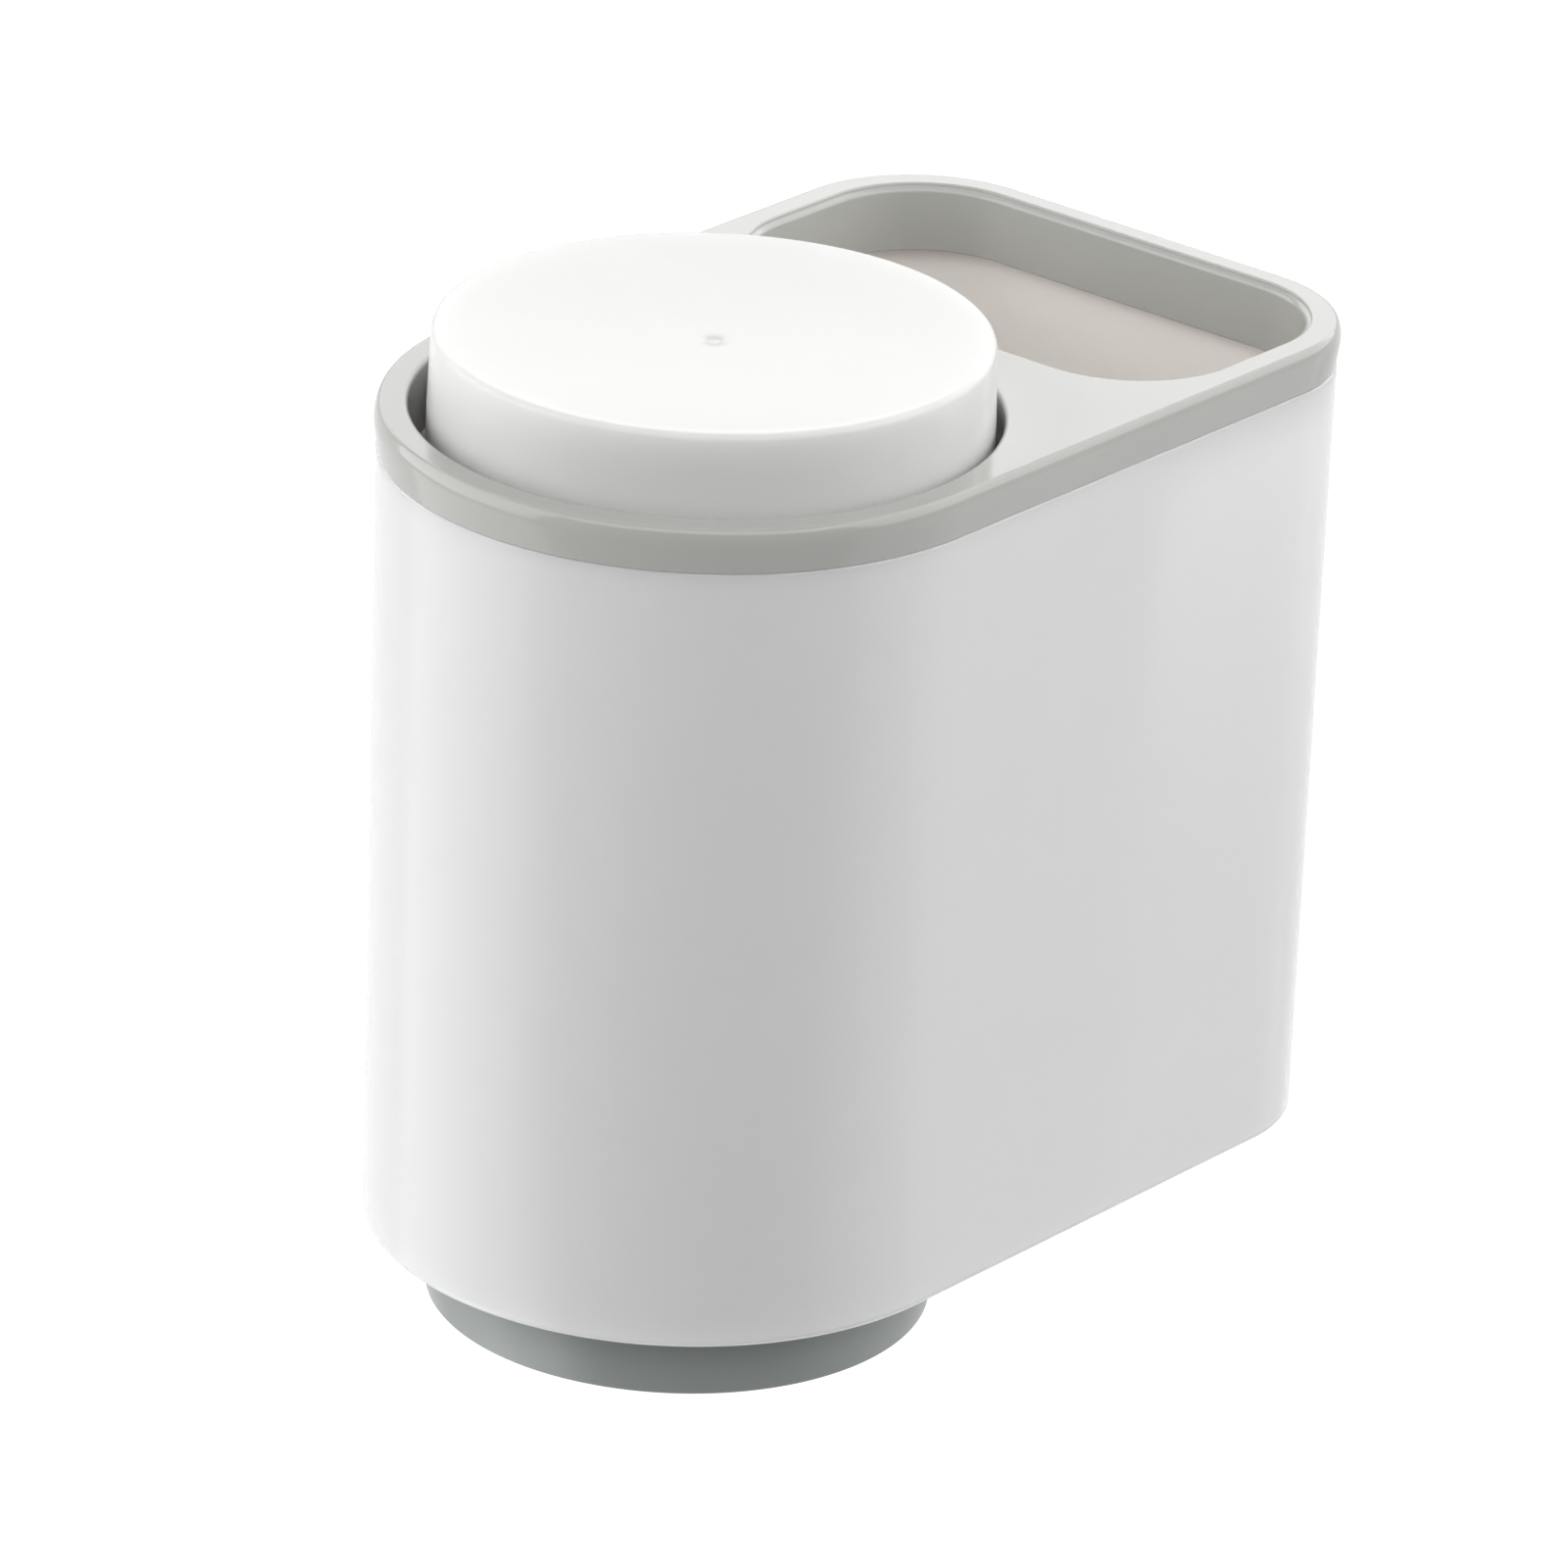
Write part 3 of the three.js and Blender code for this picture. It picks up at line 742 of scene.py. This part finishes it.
def build_tray(bm):
    neck = seal_high.x - SEAL_STAND
    bottom, top = tray_low.z - FOOT_DROP, tray_high.z
    foot_top = tray_high.x + FOOT_SPREAD
    foot = foot_top - TRAY_FLARE
    shoulder = UNDERSIDE - SEAT_GAP
    inside = neck - TRAY_WALL
    groove = neck - GROOVE_DEPTH
    groove_low, groove_high = seal_low.z - GROOVE_FIT, seal_high.z + GROOVE_FIT
    edge, inner_round = TRAY_EDGE, TRAY_INNER_ROUND
    profile = [(0, bottom + TRAY_RECESS)]
    profile += [(foot - inset, bottom + TRAY_RECESS * share) for inset, share in TRAY_RECESS_EDGE]
    profile += arc(foot - edge, bottom + edge, edge, 270, 360, EDGE_STEPS)
    profile += arc(foot_top - edge, shoulder - edge, edge, 0, 90, EDGE_STEPS)
    profile += [(neck, shoulder), (neck, groove_low), (groove, groove_low)]
    profile += [(groove, groove_high), (neck, groove_high)]
    profile += arc(neck - edge, top - edge, edge, 0, 90, EDGE_STEPS)
    profile += arc(inside + edge, top - edge, edge, 90, 180, EDGE_STEPS)
    profile += arc(inside - inner_round, bottom + TRAY_FLOOR + inner_round, inner_round, 0, -90, EDGE_STEPS)
    profile += [(0, bottom + TRAY_FLOOR)]
    lathe(bm, profile)


def tray_piece():
    piece = make("drip_dish", build_tray, IN_SOCKET)
    dress(piece, "tray", "drip_tray", "tray_grey", tray_grey)


def build_seal(bm):
    outer = seal_high.x
    inner = outer - SEAL_STAND - GROOVE_DEPTH + GROOVE_FIT
    low, high = seal_low.z, seal_high.z
    edge, inner_edge = SEAL_EDGE, SEAL_INNER_EDGE
    profile = arc(outer - edge, low + edge, edge, 270, 360, EDGE_STEPS)
    profile += arc(outer - edge, high - edge, edge, 0, 90, EDGE_STEPS)
    profile += arc(inner + inner_edge, high - inner_edge, inner_edge, 90, 180, EDGE_STEPS)
    profile += arc(inner + inner_edge, low + inner_edge, inner_edge, 180, 270, EDGE_STEPS)
    lathe(bm, profile)


def seal_piece():
    piece = make("seal_ring", build_seal, IN_SOCKET)
    dress(piece, "tray", "tray_seal", "soft_grey", soft_grey)


# Divider panel between the cup's well and the brush bay

def divider_half(height):
    inset = SHELL_DRAFT * (RIM - height) / (RIM - UNDERSIDE)
    return (HALF_WIDTH - SHELL_WALL) * (1 - inset / HALF_WIDTH) - DIVIDER_FIT


def build_divider(bm):
    low, high = divider_low.z, divider_high.z
    below, above = divider_half(low), divider_half(high)
    plan = polygon((-below, low), (below, low), (above, high), (-above, high))
    slab(bm, plan, -divider_high.y, -divider_low.y)


def divider_piece():
    piece = make("partition", build_divider, ON_WALL)
    # The divider takes the white with the painted warm glow of the shell's inside.
    dress(piece, "housing", "divider_panel", "inner_white", inner_white)


# Vented rest for the cup's rim

def spoke(angle, width, inner, outer, corner):
    """A rounded plan that runs outwards from the cup's axis."""
    turn = Matrix.Rotation(angle, 2)
    plan = rounded_rectangle(inner, -width / 2, outer, width / 2, corner, SMALL_STEPS)
    return lambda outset: [tuple(turn @ Vector(point)) for point in plan(outset)]


def around(count):
    return [2 * math.pi * i / count for i in range(count)]


def cup_rest_piece():
    top = rest_high.z - REST_RIB_HEIGHT
    bottom = top - REST_THICKNESS
    ring_outer = SOCKET_RADIUS - REST_FIT
    ring_inner = ring_outer - REST_RING_WALL
    vent_outer = ring_inner - VENT_MARGIN
    vents = [spoke(angle, VENT_WIDTH, VENT_INNER, vent_outer, VENT_CORNER) for angle in around(VENT_COUNT)]
    holes = [circle(VENT_HUB, steps=BUTTON_STEPS), *vents]

    def build_disc(bm):
        slab(bm, circle(rest_high.x), bottom, top, holes)

    def build_ring(bm):
        slab(bm, circle(ring_outer), rest_low.z, bottom + OVERLAP, [circle(ring_inner)])

    disc = make("vented_rest", build_disc)
    parts = [make("ring", build_ring)]
    rib_inner, rib_outer = cup_high.x - 2 * CUP_WALL, rest_high.x - REST_FIT
    for angle in around(REST_RIB_COUNT):
        plan = spoke(angle, REST_RIB_WIDTH, rib_inner, rib_outer, REST_RIB_CORNER)
        parts.append(make("rib", block(plan, bottom + OVERLAP, rest_high.z, SMALL_EDGE)))
    combine(disc, "UNION", *parts)
    dress(disc, "housing", "cup_rest", "inner_grey", insert_grey)


# Slotted rest for the brush handles

def brush_rest_piece():
    left, right = brush_low.x, brush_high.x
    front, back = brush_low.y - AXIS_Y, brush_high.y - AXIS_Y
    corner = MOUTH_CORNER
    middle = (front + back) / 2
    length = back - front - 2 * BRUSH_SLOT_MARGIN
    top = brush_high.z
    slots = [slot(x, middle, BRUSH_SLOT_WIDTH, length) for x in slot_places(BRUSH_SLOT_COUNT)]

    def build_plate(bm):
        plan = rounded_rectangle(left, front, right, back, corner)
        slab(bm, plan, top - BRUSH_REST_THICKNESS, top, slots)

    plate = make("slotted_rest", build_plate)
    feet = []
    inset = BRUSH_FOOT_RADIUS + REST_FIT
    for x in (left + corner, right - corner):
        for y in (front + inset, back - inset):
            plan = circle(BRUSH_FOOT_RADIUS, x, y, PEG_STEPS)
            feet.append(make("foot", block(plan, brush_low.z, top - OVERLAP, SMALL_EDGE)))
    combine(plate, "UNION", *feet)
    dress(plate, "housing", "brush_rest", "inner_grey", insert_grey)


# Wall plate with its two hooks, and the pad behind it

def hook_side():
    """The hook seen from its side: a stem out of the plate and an upturned lip."""
    tip = plate_low.y
    root = plate_high.y - PLATE_THICKNESS / 2
    lip_back = tip + HOOK_LIP
    lip_top = HOOK_TOP + HOOK_LIP_HEIGHT
    stem_bottom = HOOK_TOP - HOOK_STEM
    return polygon(
        (tip, stem_bottom), (root, stem_bottom), (root, HOOK_TOP),
        (lip_back, HOOK_TOP), (lip_back, lip_top), (tip, lip_top))


def wall_plate_piece():
    plan = rounded_rectangle(plate_low.x, plate_low.z, plate_high.x, plate_high.z, PLATE_CORNER)
    near = -plate_high.y
    plate = make("hook_plate", block(plan, near, near + PLATE_THICKNESS, PLATE_EDGE), ON_WALL)
    hooks = []
    for x in (-HOOK_X, HOOK_X):
        left, right = x - HOOK_WIDTH / 2, x + HOOK_WIDTH / 2
        hooks.append(make("hook", block(hook_side(), left, right, SMALL_EDGE), ACROSS))
    combine(plate, "UNION", *hooks)
    dress(plate, "wall_mount", "wall_plate", "inner_grey", insert_grey)


def pad_piece():
    plan = rounded_rectangle(pad_low.x, pad_low.z, pad_high.x, pad_high.z, PLATE_CORNER - PAD_MARGIN)
    pad = make("foam_pad", block(plan, 0, -pad_low.y, PAD_EDGE), ON_WALL)
    dress(pad, "wall_mount", "adhesive_pad", "pad_foam", pad_foam)


# Rubber buttons at the lower back

def build_bumper(bm):
    radius = (bumper_high.x - bumper_low.x) / 2
    depth = -bumper_low.y
    edge = BUMPER_EDGE
    profile = [(0, 0), (radius - edge - BUMPER_SUPPORT, 0)]
    profile += arc(radius - edge, edge, edge, 270, 360, EDGE_STEPS)
    profile += [(radius, depth), (0, depth)]
    lathe(bm, profile, BUTTON_STEPS)


def bumper_piece(name, node):
    low, high = box(node)
    place = Matrix.Translation(((low.x + high.x) / 2, 0, (low.z + high.z) / 2)) @ ON_WALL
    dress(make(name, build_bumper, place), "housing", node, "soft_grey", soft_grey)


shell_piece()
frame_piece()
cup_piece()
tray_piece()
seal_piece()
divider_piece()
cup_rest_piece()
brush_rest_piece()
wall_plate_piece()
pad_piece()
bumper_piece("left_button", "wall_bumper_left")
bumper_piece("right_button", "wall_bumper_right")


# Camera, at the photograph's viewing angle; lengths in millimetres
CAMERA_AZIMUTH = math.radians(39.436)
CAMERA_ELEVATION = math.radians(23.47)
CAMERA_ROLL = math.radians(2.308)
CAMERA_DISTANCE = 1314.5
CAMERA_RIGHT = 11.198
CAMERA_UP = -55.608
CAMERA_LENS = 249.9
CUP_TOP_LEVEL = -1.382  # height of the cup's base above the point that the camera is placed from
SENSOR_WIDTH = 36
CLIP_END = 100  # in metres


def direction(azimuth, elevation):
    """From the object out; an azimuth of 0 is the front, and it grows to the right."""
    return Vector((
        math.sin(azimuth) * math.cos(elevation),
        -math.cos(azimuth) * math.cos(elevation),
        math.sin(elevation),
    ))


def add_camera():
    back = direction(CAMERA_AZIMUTH, CAMERA_ELEVATION)
    right = Vector((math.cos(CAMERA_AZIMUTH), math.sin(CAMERA_AZIMUTH), 0))
    up = back.cross(right)
    origin = Vector((0, AXIS_Y, cup_high.z - CUP_TOP_LEVEL))
    eye = origin + right * CAMERA_RIGHT + up * CAMERA_UP + back * CAMERA_DISTANCE
    rolled_right = right * math.cos(CAMERA_ROLL) + up * math.sin(CAMERA_ROLL)
    rolled_up = back.cross(rolled_right)
    data = bpy.data.cameras.new("camera")
    data.lens = CAMERA_LENS
    data.sensor_width = SENSOR_WIDTH
    data.sensor_fit = "HORIZONTAL"
    data.clip_end = CLIP_END
    camera = bpy.data.objects.new("camera", data)
    turn = Matrix((rolled_right, rolled_up, back)).transposed().to_4x4()
    camera.matrix_world = Matrix.Translation(eye * MM) @ turn
    bpy.context.scene.collection.objects.link(camera)
    bpy.context.scene.camera = camera


add_camera()


# Light and stage; lengths in metres
AMBIENT = 0.02
STAGE_DROP = 1.2
STAGE_HALF = 9.0
STAGE_GREY = 0.5
WHITE = (1, 1, 1, 1)


def panel(name, azimuth, elevation, distance, width, height, brightness):
    """A soft panel that faces the object; azimuth is measured from the camera's, to the right."""
    target = Vector((0, AXIS_Y, (UNDERSIDE + DECK) / 2)) * MM
    away = direction(CAMERA_AZIMUTH + math.radians(azimuth), math.radians(elevation))
    data = bpy.data.lights.new(name, "AREA")
    data.shape = "RECTANGLE"
    data.size = width
    data.size_y = height
    data.energy = brightness * math.pi * width * height
    lamp = bpy.data.objects.new(name, data)
    lamp.location = target + away * distance
    lamp.rotation_euler = away.to_track_quat("Z", "Y").to_euler()
    bpy.context.scene.collection.objects.link(lamp)


panel("left_panel", azimuth=-90, elevation=20, distance=1.4, width=2.0, height=1.4, brightness=2.1)
panel("left_card", azimuth=-88, elevation=-31, distance=1.3, width=1.4, height=0.9, brightness=0.75)
panel("low_card", azimuth=-75, elevation=-46, distance=1.1, width=0.9, height=0.4, brightness=1.6)
panel("right_panel", azimuth=100, elevation=33, distance=1.5, width=2.8, height=1.6, brightness=1.85)
panel("right_card", azimuth=88, elevation=-24, distance=1.4, width=1.6, height=0.75, brightness=0.5)
panel("back_panel", azimuth=180, elevation=26, distance=1.5, width=2.2, height=0.55, brightness=1.65)
panel("front_panel", azimuth=0, elevation=43, distance=3.0, width=4.9, height=1.5, brightness=2.12)


def shows_white(nodes, links):
    """1 for rays from the camera, and for those that glossy and clear surfaces send on."""
    path = nodes.new("ShaderNodeLightPath")
    total = path.outputs["Is Camera Ray"]
    for ray in ("Is Glossy Ray", "Is Transmission Ray"):
        larger = nodes.new("ShaderNodeMath")
        larger.operation = "MAXIMUM"
        links.new(total, larger.inputs[0])
        links.new(path.outputs[ray], larger.inputs[1])
        total = larger.outputs[0]
    return total


def add_world():
    world = bpy.data.worlds.new("world")
    bpy.context.scene.world = world
    world.use_nodes = True
    nodes, links = world.node_tree.nodes, world.node_tree.links
    ambient = nodes["Background"]
    ambient.inputs["Color"].default_value = WHITE
    ambient.inputs["Strength"].default_value = AMBIENT
    seen = nodes.new("ShaderNodeBackground")
    seen.inputs["Color"].default_value = WHITE
    seen.inputs["Strength"].default_value = 1
    mix = nodes.new("ShaderNodeMixShader")
    links.new(shows_white(nodes, links), mix.inputs["Fac"])
    links.new(ambient.outputs[0], mix.inputs[1])
    links.new(seen.outputs[0], mix.inputs[2])
    links.new(mix.outputs[0], nodes["World Output"].inputs["Surface"])


def floor_paint():
    """Matt grey for the light, and white for what shows_white names."""
    material = bpy.data.materials.new("floor")
    material.use_nodes = True
    nodes, links = material.node_tree.nodes, material.node_tree.links
    nodes.remove(nodes["Principled BSDF"])
    matt = nodes.new("ShaderNodeBsdfDiffuse")
    matt.inputs["Color"].default_value = (STAGE_GREY, STAGE_GREY, STAGE_GREY, 1)
    bright = nodes.new("ShaderNodeEmission")
    bright.inputs["Strength"].default_value = 1
    both = nodes.new("ShaderNodeAddShader")
    links.new(matt.outputs[0], both.inputs[0])
    links.new(bright.outputs[0], both.inputs[1])
    mix = nodes.new("ShaderNodeMixShader")
    links.new(shows_white(nodes, links), mix.inputs["Fac"])
    links.new(matt.outputs[0], mix.inputs[1])
    links.new(both.outputs[0], mix.inputs[2])
    links.new(mix.outputs[0], nodes["Material Output"].inputs["Surface"])
    return material


def add_floor():
    bm = bmesh.new()
    bmesh.ops.create_grid(bm, x_segments=2, y_segments=2, size=STAGE_HALF)
    mesh = bpy.data.meshes.new("floor")
    bm.to_mesh(mesh)
    bm.free()
    floor = bpy.data.objects.new("floor", mesh)
    floor.location = (0, 0, -STAGE_DROP)
    bpy.context.scene.collection.objects.link(floor)
    mesh.materials.append(floor_paint())


add_world()
add_floor()
bpy.context.scene.view_settings.view_transform = "Standard"
